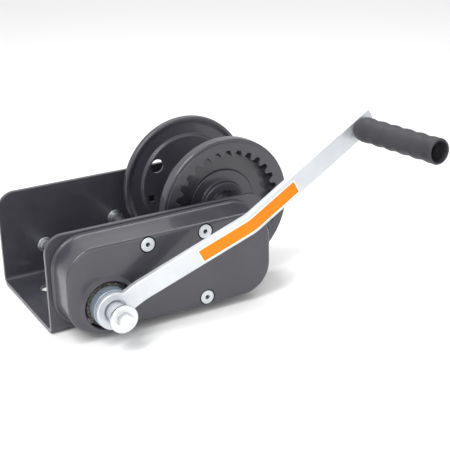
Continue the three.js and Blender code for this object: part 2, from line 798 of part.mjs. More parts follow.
winch.add(onAxis(
  CROSS,
  plateBush("cross_bush_near", "near"),
  plateBush("cross_bush_far", "far"),
  part("cross_shaft", ring(SHAFT.r, 0, gearFront - SHAFT.nearEnd, SHAFT.farEnd), zinc),
  shaftClip("cross_shaft_clip"),
  phased(part("cross_idler_gear", trainGear(TEETH.cross, bore), steel), crossPhase),
));

const pinionShape = gearShape(TEETH.pinion, RING_MODULE, PINION.root, PINION.tip, 0.5);
pinionShape.holes.push(circle(bore));
winch.add(onAxis(
  COUNTER,
  counterBush(),
  part("countershaft", ring(SHAFT.r, 0, gearFront - SHAFT.nearEnd, PINION.back), steel),
  phased(part("countershaft_gear", trainGear(TEETH.counter, bore), steel), counterPhase),
  phased(part("countershaft_pinion", slab(pinionShape, PINION.back, PINION.width), steel), counterPhase),
));

const barrelBack = FAR_WEB - GAP;
const barrelFront = RING.back + GAP;
winch.add(onAxis(
  DRUM,
  axleBolt(),
  part("axle_washer", ring(AXLE.washer, looseBore, shaftEnd, AXLE.washerEnd), zinc),
  axleNut(),
  part("axle_tube", ring(AXLE.tube, bore, AXLE.tubeEnd, PLATE_IN - GAP), zinc),
  part("drum_barrel", ring(BARREL.r, BARREL.r - BARREL.wall, barrelFront, barrelBack, 28), coated),
  farFlange(),
  phased(ringGearFlange(), RING_PHASE),
  drumBush("drum_bush_near", DRUM_BUSH.near),
  drumBush("drum_bush_far", DRUM_BUSH.far),
));

winch.add(onAxis(
  PAWL,
  pawlPin(),
  pawlSpring(),
  clip("pawl_clip", PAWL_PIN.r + PIN_LOOSE, PAWL_CLIP.r, PAWL_CLIP.front, PAWL_CLIP.back),
  pawl(),
));

const crank = onAxis(INPUT, pressureHub(), crankArm());
crank.rotation.y = -CRANK.angle;
const handle = new THREE.Group();
handle.applyMatrix4(gripPlace());
handle.add(gripStud(), grip());
crank.add(handle);
winch.add(crank);

export default winch;
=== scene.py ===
import math

import bmesh
import bpy
from mathutils import Matrix, Vector


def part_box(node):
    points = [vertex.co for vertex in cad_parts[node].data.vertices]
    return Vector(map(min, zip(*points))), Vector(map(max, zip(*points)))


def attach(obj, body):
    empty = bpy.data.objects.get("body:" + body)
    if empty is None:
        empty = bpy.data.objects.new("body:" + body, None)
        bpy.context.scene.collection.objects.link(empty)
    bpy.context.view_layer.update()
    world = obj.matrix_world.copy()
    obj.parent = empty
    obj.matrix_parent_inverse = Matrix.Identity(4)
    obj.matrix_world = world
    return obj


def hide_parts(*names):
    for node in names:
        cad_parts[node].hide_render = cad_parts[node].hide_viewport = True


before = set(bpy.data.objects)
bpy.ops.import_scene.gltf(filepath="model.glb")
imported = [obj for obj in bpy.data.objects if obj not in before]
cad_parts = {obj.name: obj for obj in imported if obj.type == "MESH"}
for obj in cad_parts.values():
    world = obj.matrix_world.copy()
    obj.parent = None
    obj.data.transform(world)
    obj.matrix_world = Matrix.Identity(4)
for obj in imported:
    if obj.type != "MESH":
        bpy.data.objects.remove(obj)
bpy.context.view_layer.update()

# Boat trailer winch. The pieces are drawn in millimetres and become metres in every mesh;
# the stage, the lights and the camera are placed in metres.
MM = 0.001

# ---- driving places and sizes, worked out from the frame ----


def corners_of(node):
    """The lowest and the highest corner of a CAD node's box."""
    return [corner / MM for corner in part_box(node)]


def axis_of(node):
    """X and Z of the shaft axis that a round node turns about."""
    low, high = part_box(node)
    centre = (low + high) / 2 / MM
    return centre.x, centre.z


INPUT = axis_of("cap_washer")
CROSS = axis_of("cross_shaft")
COUNTER = axis_of("countershaft")
STUD = axis_of("idler_stud")
DRUM = axis_of("axle_tube")
PAWL = axis_of("pawl_pin")
SCREWS = [axis_of(f"cover_screw_{i}") for i in (1, 2, 3)]

FRAME_HIGH = corners_of("frame")[1]
COVER_LOW, COVER_HIGH = corners_of("gear_cover")
SHEET = 5
PLATE = FRAME_HIGH.y
PLATE_IN = PLATE - SHEET
COVER_FRONT = COVER_LOW.y
COVER_BACK = COVER_HIGH.y

SHAFT = 7
BORE = SHAFT + 0.3

# The crank's strip: distances along it run from the hub; the first bend kicks it out to the front.
CRANK_ANGLE = math.radians(27.6)
CRANK_FRONT = -138.2
CRANK_THICK = 7.2
CRANK_HALF = 12
CRANK_EYE = 21.4
CRANK_LENGTH = 357
CRANK_BENDS = (33, 169)
CRANK_KICK = 31.46
CRANK_SLOPES = (0, -CRANK_KICK / (CRANK_BENDS[1] - CRANK_BENDS[0]), 0.09)
CRANK_SOFT = 6
GRIP_AT = 337

# ---- outlines ----


def arc(radius, start, end, steps, centre=(0, 0)):
    """Points on an arc, in degrees."""
    angles = [math.radians(start + (end - start) * i / steps) for i in range(steps + 1)]
    return [(centre[0] + radius * math.cos(a), centre[1] + radius * math.sin(a)) for a in angles]


def circle(radius, centre=(0, 0), steps=72):
    return arc(radius, 0, 360, steps, centre)[:-1]


# A corner that turns less than this many radians stays as it is, and a rounding takes at most
# this share of either side.
LEAST_TURN = 0.08
MOST_OF_SIDE = 0.45


def soften(points, radii, steps):
    """Rounds the corners of a closed outline; there is one radius for each point."""
    made = []
    for i, (point, wanted) in enumerate(zip(points, radii)):
        corner = Vector(point)
        before = Vector(points[i - 1]) - corner
        after = Vector(points[(i + 1) % len(points)]) - corner
        if wanted <= 0 or before.length < 1e-6 or after.length < 1e-6:
            made.append(tuple(corner))
            continue
        half = before.angle(after) / 2
        if math.pi - 2 * half < LEAST_TURN:
            made.append(tuple(corner))
            continue
        cut_back = min(wanted / math.tan(half), MOST_OF_SIDE * before.length, MOST_OF_SIDE * after.length)
        small = cut_back * math.tan(half)
        before.normalize()
        after.normalize()
        centre = corner + (before + after).normalized() * (small / math.sin(half))
        start = corner + before * cut_back - centre
        turn = math.pi - 2 * half
        if before.x * after.y - before.y * after.x > 0:
            turn = -turn
        for k in range(steps + 1):
            a = turn * k / steps
            made.append((
                centre.x + start.x * math.cos(a) - start.y * math.sin(a),
                centre.y + start.x * math.sin(a) + start.y * math.cos(a),
            ))
    return made


def rounded_box(x0, x1, z0, z1, radius, steps=14):
    corners = [
        ((x1 - radius, z1 - radius), 0),
        ((x0 + radius, z1 - radius), 90),
        ((x0 + radius, z0 + radius), 180),
        ((x1 - radius, z0 + radius), 270),
    ]
    return [p for centre, start in corners for p in arc(radius, start, start + 90, steps, centre)]


def hexagon(flats):
    return arc(flats / math.sqrt(3), 0, 300, 5)


# ---- meshes ----

SHARP_ANGLE = math.radians(38)


def shaded(made):
    """Smooth shading that leaves the flat faces flat beside their round edges."""
    normals = made.modifiers.new("normals", "WEIGHTED_NORMAL")
    normals.keep_sharp = True
    return made


def finished(bm, name, weighted=True):
    """A bmesh in millimetres as a smooth-shaded object in metres."""
    bmesh.ops.remove_doubles(bm, verts=bm.verts, dist=1e-4)
    bmesh.ops.dissolve_degenerate(bm, edges=bm.edges, dist=1e-5)
    bmesh.ops.recalc_face_normals(bm, faces=bm.faces)
    bmesh.ops.scale(bm, vec=(MM, MM, MM), verts=bm.verts)
    mesh = bpy.data.meshes.new(name)
    bm.to_mesh(mesh)
    bm.free()
    mesh.shade_smooth()
    mesh.set_sharp_from_angle(angle=SHARP_ANGLE)
    made = bpy.data.objects.new(name, mesh)
    bpy.context.scene.collection.objects.link(made)
    return shaded(made) if weighted else made


def turned_bm(profile, at, segments=96):
    """A closed profile of (radius, y) points turned about a shaft axis at (x, z)."""
    bm = bmesh.new()
    rings = []
    for i in range(segments):
        a = 2 * math.pi * i / segments
        cos, sin = math.cos(a), math.sin(a)
        rings.append([bm.verts.new((at[0] + r * cos, y, at[1] + r * sin)) for r, y in profile])
    for i in range(segments):
        here, following = rings[i], rings[(i + 1) % segments]
        for k in range(len(profile)):
            n = (k + 1) % len(profile)
            if max(profile[k][0], profile[n][0]) > 1e-6:
                bm.faces.new((here[k], here[n], following[n], following[k]))
    bmesh.ops.remove_doubles(bm, verts=bm.verts, dist=1e-5)
    return bm


def tube(inner, outer, start, end):
    """The profile of a tube between two Y planes, or of a rod where inner is 0."""
    return [(inner, start), (outer, start), (outer, end), (inner, end)]


def turned(name, profile, at, edge=0.4, segments=96):
    """A turned piece; edge is one radius for every corner off the axis, or one for each corner."""
    radii = edge if isinstance(edge, list) else [0 if r < 1e-6 else edge for r, _ in profile]
    return finished(turned_bm(soften(profile, radii, 3), at, segments), name)


def cutter(name, profile, at, segments=96):
    """A turned solid with crisp edges, to be cut or to cut with."""
    return finished(turned_bm(profile, at, segments), name, weighted=False)


def plate_bm(loops, thick, edge):
    """A flat plate in U and V with round edges, W from -thick/2 to thick/2.

    The first loop is the outline and the others are holes.
    """
    data = bpy.data.curves.new("outline", "CURVE")
    data.dimensions = "2D"
    data.fill_mode = "BOTH"
    data.extrude = thick / 2 - edge
    data.bevel_depth = edge
    data.bevel_resolution = 2
    data.offset = -edge
    for loop in loops:
        spline = data.splines.new("POLY")
        spline.points.add(len(loop) - 1)
        for point, (u, v) in zip(spline.points, loop):
            point.co = (u, v, 0, 1)
        spline.use_cyclic_u = True
    holder = bpy.data.objects.new("outline", data)
    bpy.context.scene.collection.objects.link(holder)
    bpy.context.view_layer.update()
    evaluated = holder.evaluated_get(bpy.context.evaluated_depsgraph_get())
    mesh = bpy.data.meshes.new_from_object(evaluated)
    bm = bmesh.new()
    bm.from_mesh(mesh)
    bpy.data.meshes.remove(mesh)
    bpy.data.objects.remove(holder)
    bpy.data.curves.remove(data)
    bmesh.ops.remove_doubles(bm, verts=bm.verts, dist=1e-4)
    return bm


def slice_bm(bm, axis, places):
    """Cuts every face along planes across U or V, so that a bend between them is smooth."""
    for place in places:
        geometry = bm.verts[:] + bm.edges[:] + bm.faces[:]
        bmesh.ops.bisect_plane(bm, geom=geometry, dist=1e-5, plane_co=axis * place, plane_no=axis)


def mapped(bm, function):
    for vert in bm.verts:
        vert.co = function(*vert.co)
    return bm


def standing_plate(name, loops, y_front, y_back, edge, at, turn=0):
    """A plate in the XZ plane, between two Y planes."""
    middle = (y_front + y_back) / 2
    cos, sin = math.cos(turn), math.sin(turn)

    def upright(u, v, w):
        return Vector((at[0] + u * cos - v * sin, middle - w, at[1] + u * sin + v * cos))

    return finished(mapped(plate_bm(loops, y_back - y_front, edge), upright), name)


def loft_bm(levels):
    """A closed solid through outlines in XZ, each level being (y, outline)."""
    bm = bmesh.new()
    rings = [[bm.verts.new((x, y, z)) for x, z in outline] for y, outline in levels]
    for back, front in zip(rings, rings[1:]):
        count = len(back)
        for i in range(count):
            n = (i + 1) % count
            bm.faces.new((back[i], back[n], front[n], front[i]))
    bm.faces.new(rings[0])
    bm.faces.new(rings[-1])
    return bm


def evaluated_mesh(made):
    """A new mesh of what a piece looks like with its modifiers."""
    bpy.context.view_layer.update()
    return bpy.data.meshes.new_from_object(made.evaluated_get(bpy.context.evaluated_depsgraph_get()))


def cut(made, *tools):
    """Takes the tools' solids out of made, and removes them."""
    for tool in tools:
        step = made.modifiers.new("cut", "BOOLEAN")
        step.operation = "DIFFERENCE"
        step.solver = "EXACT"
        step.object = tool
    mesh = evaluated_mesh(made)
    made.modifiers.clear()
    old = made.data
    made.data = mesh
    bpy.data.meshes.remove(old)
    for tool in tools:
        bpy.data.objects.remove(tool)
    return made


def eased(made, width):
    """Rounds the sharp edges that a cut left."""
    bevel = made.modifiers.new("ease", "BEVEL")
    bevel.width = width * MM
    bevel.segments = 3
    bevel.limit_method = "ANGLE"
    bevel.angle_limit = SHARP_ANGLE
    bevel.use_clamp_overlap = True
    made.data.shade_smooth()
    made.data.set_sharp_from_angle(angle=SHARP_ANGLE)
    return shaded(made)


def joined(name, *parts):
    """Several objects as one piece; their meshes stay separate shells."""
    bm = bmesh.new()
    for made in parts:
        mesh = evaluated_mesh(made)
        bm.from_mesh(mesh)
        bpy.data.meshes.remove(mesh)
        bpy.data.objects.remove(made)
    mesh = bpy.data.meshes.new(name)
    bm.to_mesh(mesh)
    bm.free()
    mesh.shade_smooth()
    mesh.set_sharp_from_angle(angle=SHARP_ANGLE)
    whole = bpy.data.objects.new(name, mesh)
    bpy.context.scene.collection.objects.link(whole)
    return shaded(whole)


def placed(made, matrix):
    """Moves a piece drawn in other axes, in millimetres, to its place."""
    metres = matrix.copy()
    metres.translation = matrix.translation * MM
    made.data.transform(metres)
    return made


# ---- materials ----


class Shader:
    """A Principled material with short calls for the nodes that vary it."""

    def __init__(self, name, color, roughness, metallic=0.0, specular=0.5):
        self.material = bpy.data.materials.new(name)
        self.material.use_nodes = True
        self.nodes = self.material.node_tree.nodes
        self.links = self.material.node_tree.links
        self.base = self.nodes["Principled BSDF"]
        self.base.inputs["Base Color"].default_value = (*color, 1)
        self.base.inputs["Roughness"].default_value = roughness
        self.base.inputs["Metallic"].default_value = metallic
        self.base.inputs["Specular IOR Level"].default_value = specular
        self.place = self.nodes.new("ShaderNodeTexCoord").outputs["Object"]

    def noise(self, scale, detail, rough=0.55, stretch=None):
        node = self.nodes.new("ShaderNodeTexNoise")
        node.inputs["Scale"].default_value = scale
        node.inputs["Detail"].default_value = detail
        node.inputs["Roughness"].default_value = rough
        place = self.place
        if stretch:
            mapping = self.nodes.new("ShaderNodeMapping")
            mapping.inputs["Scale"].default_value = stretch
            self.links.new(place, mapping.inputs["Vector"])
            place = mapping.outputs["Vector"]
        self.links.new(place, node.inputs["Vector"])
        return node.outputs["Fac"]

    def cells(self, scale):
        node = self.nodes.new("ShaderNodeTexVoronoi")
        node.inputs["Scale"].default_value = scale
        self.links.new(self.place, node.inputs["Vector"])
        return node

    def ramp(self, value, stops):
        node = self.nodes.new("ShaderNodeValToRGB")
        ramp = node.color_ramp
        while len(ramp.elements) < len(stops):
            ramp.elements.new(0.5)
        for element, (position, color) in zip(ramp.elements, stops):
            element.position = position
            element.color = (*color, 1) if isinstance(color, tuple) else (color, color, color, 1)
        self.links.new(value, node.inputs["Fac"])
        return node.outputs["Color"]

    def span(self, value, low, high, start=0.0, end=1.0):
        node = self.nodes.new("ShaderNodeMapRange")
        node.inputs["From Min"].default_value = start
        node.inputs["From Max"].default_value = end
        node.inputs["To Min"].default_value = low
        node.inputs["To Max"].default_value = high
        self.links.new(value, node.inputs["Value"])
        return node.outputs["Result"]

    def mix(self, share, a, b):
        node = self.nodes.new("ShaderNodeMix")
        node.data_type = "RGBA"
        self.links.new(share, node.inputs["Factor"])
        for value, socket in ((a, node.inputs["A"]), (b, node.inputs["B"])):
            if isinstance(value, tuple):
                socket.default_value = (*value, 1)
            else:
                self.links.new(value, socket)
        return node.outputs["Result"]

    def color(self, value):
        self.links.new(value, self.base.inputs["Base Color"])

    def roughness(self, value):
        self.links.new(value, self.base.inputs["Roughness"])

    def bump(self, height, strength, distance):
        """Adds a layer of relief to the layers that are there already."""
        node = self.nodes.new("ShaderNodeBump")
        node.inputs["Strength"].default_value = strength
        node.inputs["Distance"].default_value = distance
        self.links.new(height, node.inputs["Height"])
        last = self.base.inputs["Normal"]
        if last.is_linked:
            self.links.new(last.links[0].from_socket, node.inputs["Normal"])
        self.links.new(node.outputs["Normal"], last)


def powder_coat(name, dark, light, roughness):
    """Satin powder coat: orange peel, faint cloudiness, and a few paler rub marks."""
    s = Shader(name, dark, roughness)
    cloud = s.noise(22, 4)
    tone = s.mix(s.span(cloud, 0, 1, 0.3, 0.7), dark, light)
    rubs = s.ramp(s.noise(9, 6, 0.6), [(0.58, 0.0), (0.74, 1.0)])
    pale = tuple(c * 1.2 + 0.005 for c in light)
    s.color(s.mix(s.span(rubs, 0, 0.5), tone, pale))
    s.base.inputs["Specular IOR Level"].default_value = 0.55
    s.base.inputs["Coat Weight"].default_value = 0.5
    s.base.inputs["Coat Roughness"].default_value = 0.1
    s.roughness(s.span(s.noise(70, 4), roughness - 0.06, roughness + 0.08, 0.3, 0.7))
    s.bump(s.noise(620, 2, 0.5), 0.07, 0.0001)
    s.bump(s.noise(60, 2), 0.05, 0.0006)
    return s.material


def zinc_plate(name, color, roughness, tint, metallic=1.0):
    """Plated zinc: cloudy patches, a fine grain, and shallow waves."""
    s = Shader(name, color, roughness, metallic)
    cloud = s.span(s.noise(38, 5, 0.6), 0, 1, 0.32, 0.68)
    s.color(s.mix(cloud, color, tint))
    s.roughness(s.span(s.noise(120, 5, 0.65), roughness - 0.07, roughness + 0.12, 0.3, 0.7))
    s.bump(s.noise(900, 3, 0.6), 0.10, 0.00008)
    s.bump(s.noise(45, 3), 0.06, 0.0005)
    return s.material


def machined_steel(name, color, roughness):
    """Bare metal with darker patches and fine turning marks round the Y axis."""
    s = Shader(name, color, roughness, metallic=1.0)
    dark = tuple(c * 0.72 for c in color)
    s.color(s.mix(s.span(s.noise(60, 6, 0.65), 0, 1, 0.35, 0.7), color, dark))
    s.roughness(s.span(s.noise(200, 3), roughness - 0.06, roughness + 0.12, 0.3, 0.7))
    s.bump(s.noise(700, 2, 0.5, (1, 14, 1)), 0.12, 0.00008)
    return s.material


def friction_lining(name):
    """Pressed composite: dark binder with brass and grit flecks."""
    s = Shader(name, (0.06, 0.055, 0.05), 0.85)
    cells = s.cells(620)
    flecks = s.ramp(cells.outputs["Color"], [
        (0.0, (0.018, 0.017, 0.016)),
        (0.6, (0.045, 0.041, 0.038)),
        (0.84, (0.26, 0.24, 0.21)),
        (1.0, (0.5, 0.48, 0.45)),
    ])
    s.color(s.mix(s.span(s.noise(260, 3), 0.2, 1), (0.035, 0.032, 0.03), flecks))
    s.bump(s.span(cells.outputs["Distance"], 1, 0), 0.5, 0.0004)
    s.bump(s.noise(300, 3), 0.35, 0.0003)
    return s.material


def grip_plastic(name):
    """Dull moulded plastic with a fine grain."""
    s = Shader(name, (0.027, 0.0265, 0.032), 0.55)
    s.color(s.mix(s.span(s.noise(30, 4), 0, 1, 0.35, 0.7), (0.023, 0.0225, 0.028), (0.034, 0.0335, 0.041)))
    s.roughness(s.span(s.noise(90, 4), 0.46, 0.64, 0.3, 0.7))
    s.bump(s.noise(1500, 2, 0.5), 0.35, 0.00012)
    s.bump(s.noise(160, 3), 0.12, 0.0003)
    return s.material


def film(name, color, roughness):
    """Printed label film, a little faded in patches."""
    s = Shader(name, color, roughness, specular=0.25)
    faded = tuple(c * 0.93 for c in color)
    s.color(s.mix(s.span(s.noise(55, 4), 0, 1, 0.35, 0.7), color, faded))
    s.roughness(s.span(s.noise(240, 3), roughness - 0.06, roughness + 0.06, 0.3, 0.7))
    s.bump(s.noise(420, 2), 0.05, 0.0001)
    return s.material


COAT = powder_coat("charcoal_powder_coat", (0.031, 0.0305, 0.040), (0.040, 0.0395, 0.050), 0.4)
ZINC = zinc_plate("bright_zinc", (0.72, 0.735, 0.745), 0.30, (0.62, 0.645, 0.67))
ARM_ZINC = zinc_plate("strip_zinc", (0.66, 0.68, 0.70), 0.42, (0.595, 0.62, 0.65), 0.65)
HUB_ZINC = zinc_plate("blue_zinc", (0.43, 0.495, 0.565), 0.42, (0.33, 0.39, 0.465), 0.7)
STEEL = machined_steel("machined_steel", (0.42, 0.43, 0.45), 0.36)
OILED = machined_steel("oiled_steel", (0.13, 0.13, 0.14), 0.3)
DULL_ZINC = zinc_plate("dull_zinc", (0.17, 0.175, 0.185), 0.3, (0.11, 0.115, 0.125))
BRONZE = machined_steel("sintered_bronze", (0.52, 0.34, 0.17), 0.42)
LINING = friction_lining("friction_lining")
# Near-black coat for the discs at the screw sockets' floors: painted shade in the sockets' depth.
SHADE = powder_coat("painted_socket_shade", (0.008, 0.008, 0.009), (0.012, 0.012, 0.013), 0.6)
PLASTIC = grip_plastic("grip_plastic")
ORANGE = film("label_orange", (0.86, 0.215, 0.0), 0.5)
WHITE = film("label_white", (0.92, 0.92, 0.90), 0.5)


def fit(made, body, material, *nodes):
    """Gives a finished piece its material and body, and hides the nodes it stands for."""
    made.data.materials.clear()
    made.data.materials.append(material)
    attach(made, body)
    if nodes:
        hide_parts(*nodes)
    return made


# ---- frame ----

# BEND_RADIUS is the outside of the bend, BEND_MIDDLE the middle of the sheet, whose length stays.
BEND_RADIUS = 10
BEND_MIDDLE = BEND_RADIUS - SHEET / 2
BASE_HALF = PLATE - BEND_RADIUS
BEND_END = BASE_HALF + BEND_MIDDLE * math.pi / 2
FLAT_HALF = BEND_END + FRAME_HIGH.z - BEND_RADIUS
FRAME_CORNER = 21
BASE_HOLE = 11
BASE_HOLE_X = 96.5
BASE_HOLE_Y = 30
SHAFT_HOLE = 9.1
COUNTER_HOLE = 12.3
BOLT_HOLE = SHAFT + 0.4
RIVET_HOLE = 6.3
PIN_HOLE = 5.3


def folded(u, v, w):
    """A point of the flat sheet where the folding puts it; W points to the channel's inside."""
    side = math.copysign(1, v)
    run = abs(v)
    if run <= BASE_HALF:
        return Vector((u, v, SHEET / 2 + w))
    if run < BEND_END:
        a = (run - BASE_HALF) / BEND_MIDDLE
        radius = BEND_MIDDLE - w
        return Vector((u, side * (BASE_HALF + radius * math.sin(a)), BEND_RADIUS - radius * math.cos(a)))
    return Vector((u, side * (PLATE - SHEET / 2 - w), BEND_RADIUS + run - BEND_END))


def make_frame():
    """The blank with all its holes, sliced along the bends and folded up."""
    end = FRAME_HIGH.x
    loops = [rounded_box(-end, end, -FLAT_HALF, FLAT_HALF, FRAME_CORNER)]
    for x in (-BASE_HOLE_X, BASE_HOLE_X):
        for y in (-BASE_HOLE_Y, BASE_HOLE_Y):
            loops.append(circle(BASE_HOLE, (x, y)))

    def hole(at, radius, side):
        loops.append(circle(radius, (at[0], side * (BEND_END + at[1] - BEND_RADIUS)), 56))

    for side in (-1, 1):
        hole(INPUT, SHAFT_HOLE, side)
        hole(CROSS, SHAFT_HOLE, side)
        hole(DRUM, BOLT_HOLE, side)
    hole(COUNTER, COUNTER_HOLE, -1)
    hole(STUD, RIVET_HOLE, -1)
    for at in (PAWL, *SCREWS):
        hole(at, PIN_HOLE, -1)
    edge = 0.7
    bm = plate_bm(loops, SHEET, edge)
    steps = 10
    cuts = [BASE_HALF + (BEND_END - BASE_HALF) * i / steps for i in range(steps + 1)]
    slice_bm(bm, Vector((0, 1, 0)), cuts + [-c for c in cuts])
    fit(finished(mapped(bm, folded), "folded_frame"), "root", COAT, "frame")


# ---- gear cover ----

COVER_WALL = 2
COVER_CORNER = 37
COVER_DRAFT = 3.4
COVER_EDGE = 3.5
# Where the skirt flares at the frame: how far from the back edge, and how far inside the outline.
COVER_RIM = (
    (0, 0.3), (0.3, -0.3), (1.6, -0.3), (2.0, 0.1), (2.3, 0.9),
    (3.6, 1.7), (6, 2.3), (10, 2.7), (16, 3.0), (24, 3.2),
)
# The hollow's inset at the back edge and a little further in.
HOLLOW_BACK = 3.2
HOLLOW_INSIDE = 4.3
MOUTH = 27.5
SCREW_HEAD = 8
SCREW_SHANK = 4
SCREW_SINK = SCREW_HEAD + 1.4
SCREW_HOLE = SCREW_SHANK + 1


def cover_outline(inset):
    return rounded_box(
        COVER_LOW.x + inset, COVER_HIGH.x - inset, COVER_LOW.z + inset, COVER_HIGH.z - inset,
        COVER_CORNER - inset * 0.6,
    )


def cover_edge(face, inset, radius):
    """The levels of the round edge between the cover's side and a front face at Y = face."""
    steps = 7
    angles = [math.pi / 2 * i / steps for i in range(steps + 1)]
    return [
        (face + radius * (1 - math.sin(a)), cover_outline(inset + radius * (1 - math.cos(a))))
        for a in angles
    ]


def make_cover():
    outer = [(COVER_BACK - away, cover_outline(inset)) for away, inset in COVER_RIM]
    outer += cover_edge(COVER_FRONT, COVER_DRAFT, COVER_EDGE)
    inner = [(COVER_BACK + 1, cover_outline(HOLLOW_BACK)), (COVER_BACK - 6, cover_outline(HOLLOW_INSIDE))]
    inner += cover_edge(COVER_FRONT + COVER_WALL, COVER_DRAFT + COVER_WALL, COVER_EDGE - COVER_WALL)
    shell = finished(loft_bm(outer), "gear_cover_shell", weighted=False)
    hollow = finished(loft_bm(inner), "hollow", weighted=False)
    deep = COVER_FRONT + 6
    mouth = cutter("mouth", tube(0, MOUTH, COVER_FRONT - 5, deep), INPUT)
    cone = [
        (0, COVER_FRONT - 1), (SCREW_SINK, COVER_FRONT - 1), (SCREW_SINK, COVER_FRONT + 2.6),
        (SCREW_HOLE, COVER_FRONT + 4.6), (SCREW_HOLE, deep), (0, deep),
    ]
    cones = [cutter("cone", cone, at, 64) for at in SCREWS]
    cut(shell, hollow, mouth, *cones)
    fit(eased(shell, 0.35), "root", COAT, "gear_cover")
    lip = [
        (MOUTH + 0.1, COVER_FRONT + 1.6),
        (MOUTH + 0.1, COVER_FRONT - 2.2),
        (MOUTH + 1.1, COVER_FRONT - 3.1),
        (MOUTH + 3.4, COVER_FRONT - 1.5),
        (MOUTH + 5.9, COVER_FRONT + 0.1),
        (MOUTH + 5.9, COVER_FRONT + 1.2),
    ]
    fit(turned("gear_cover_mouth_lip", lip, INPUT, [0.2, 0.8, 0.9, 2.5, 2, 0.2], 120), "root", COAT)


def make_screws():
    """Countersunk screws with a fine ring in the head and a hexagon socket."""
    face = COVER_FRONT - 0.05
    tip = face + 20
    ring, ring_floor = 6.6, face + 0.22
    socket_size, socket_floor = 2.9, face + 5.6
    profile = [
        (0, face), (ring, face), (ring + 0.15, ring_floor), (ring + 0.35, ring_floor), (ring + 0.5, face),
        (SCREW_HEAD, face + 0.1), (SCREW_HEAD, face + 0.6), (SCREW_SHANK, face + 4.2), (SCREW_SHANK, tip),
        (0, tip),
    ]
    radii = [0, 0.05, 0.05, 0.05, 0.05, 0.3, 0.2, 0.2, 0.4, 0]
    for i, at in enumerate(SCREWS, 1):
        head = cutter(f"screw_{i}", soften(profile, radii, 3), at, 64)
        socket = finished(turned_bm(tube(0, socket_size, face - 1, face + 6), at, 6), "socket")
        fit(eased(cut(head, socket), 0.12), "root", ARM_ZINC, f"cover_screw_{i}")
        # A near-black disc at the socket's floor: painted shade that makes the socket read as deep.
        disc = tube(0, socket_size + 0.4, socket_floor, socket_floor + 0.3)
        fit(turned(f"screw_socket_floor_{i}", disc, at, 0.05, 24), "root", SHADE)


# ---- drum ----

PRESSURE_ANGLE = math.radians(25)
MODULE = 4.5
RING_TEETH = 29
PINION_TEETH = 8
RING_PHASE = math.radians(87.4)
RING_FRONT = -56.1
RING_WEB = -41.6
RING_BACK = -37.6
NEAR_FLANGE = 82.5
FAR_FLANGE = 83.5
FAR_WEB = 46
FLANGE_BORE = 19.5
BARREL = 30
BARREL_WALL = 3.5


def gear_loop(teeth, root, tip, play, corner=0.45):
    """An involute outline with a tooth centred on +U; play narrows the teeth at the pitch circle."""
    pitch = teeth * MODULE / 2
    base = pitch * math.cos(PRESSURE_ANGLE)

    def half_at(r):
        angle = math.acos(min(1, base / max(r, base)))
        involute = math.tan(angle) - angle
        at_pitch = math.tan(PRESSURE_ANGLE) - PRESSURE_ANGLE
        return math.pi / (2 * teeth) - play / (2 * pitch) + at_pitch - involute

    start = max(root, base)
    steps = 6
    flank = [start + (tip - start) * i / steps for i in range(steps + 1)]
    flank = [(r, max(half_at(r), 0.006)) for r in flank]
    if root < base:
        flank.insert(0, (root, half_at(base)))
    points, radii = [], []
    for tooth in range(teeth):
        centre = 2 * math.pi * tooth / teeth
        run = [(r, centre - half) for r, half in flank] + [(r, centre + half) for r, half in reversed(flank)]
        points += [(r * math.cos(a), r * math.sin(a)) for r, a in run]
        ends = {0, len(flank) - 1, len(flank), len(run) - 1}
        radii += [corner if k in ends else 0 for k in range(len(run))]
    return soften(points, radii, 3)


def make_ring_gear():
    """The near flange: an internal ring gear in a turned body with a stepped boss."""
    disc = 78.6
    tooth_tip, tooth_root = 62, 68.5
    loops = [circle(disc, steps=180), gear_loop(RING_TEETH, tooth_tip, tooth_root, -0.5)]
    teeth = standing_plate("ring_teeth", loops, RING_FRONT, RING_WEB + 0.3, 0.6, DRUM, RING_PHASE)
    boss, boss_front = 28.8, -52
    step, step_front = 42.4, -44.8
    rim, rim_front, rim_back = disc - 1.2, -54.7, -43
    chamfer = 72
    profile = [
        (FLANGE_BORE, boss_front), (boss, boss_front), (boss, step_front), (step, step_front),
        (step, RING_WEB), (rim, RING_WEB), (rim, rim_front), (NEAR_FLANGE - 0.9, rim_front),
        (NEAR_FLANGE, rim_front + 1.3), (NEAR_FLANGE, rim_back), (chamfer, RING_BACK),
        (FLANGE_BORE, RING_BACK),
    ]
    radii = [0.5, 1.2, 1.6, 1.8, 0.8, 0.3, 0.5, 1.5, 0.8, 1.2, 4, 0.4]
    body = turned("ring_body", profile, DRUM, radii, 160)
    fit(joined("ring_gear", teeth, body), "drum", COAT, "ring_gear_flange")


def on_flange(radius, degrees):
    a = math.radians(degrees)
    return DRUM[0] + radius * math.cos(a), DRUM[1] + radius * math.sin(a)


def make_far_flange():
    """The far flange, pressed from sheet with a raised band and a rolled rim, and its two holes."""
    y = FAR_WEB
    sheet = 3.2
    boss, boss_end = 26, 60
    profile = [
        (FLANGE_BORE, y), (59.6, y), (61.8, y + 3.6), (75, y + 4.6), (79.4, y + 1.4),
        (FAR_FLANGE - 0.6, y + 2.4), (FAR_FLANGE, y + 8.4), (80.8, y + 8.4), (80.3, y + 5.2),
        (76.4, y + 7.7), (60.4, y + 6.6), (58.2, y + sheet), (boss, y + sheet), (boss, boss_end),
        (FLANGE_BORE, boss_end),
    ]
    radii = [0.5, 2.2, 2.2, 4, 3.2, 2.5, 0.8, 0.6, 1.5, 3, 2, 1.5, 1.5, 0.8, 0.5]
    flange = cutter("far_drum_flange", soften(profile, radii, 5), DRUM, 160)
    front, back = y - 6, y + 12
    rope_hole, rope_at = 8.5, on_flange(49, 144.9)
    key_half, key_at = 4.25, on_flange(51, 194)
    drill = cutter("drill", tube(0, rope_hole, front, back), rope_at, 64)
    outline = rounded_box(-key_half, key_half, -key_half, key_half, 0.6, 3)
    square = standing_plate("square", [outline], front, back, 0.01, key_at)
    fit(eased(cut(flange, drill, square), 0.5), "drum", COAT, "far_flange")


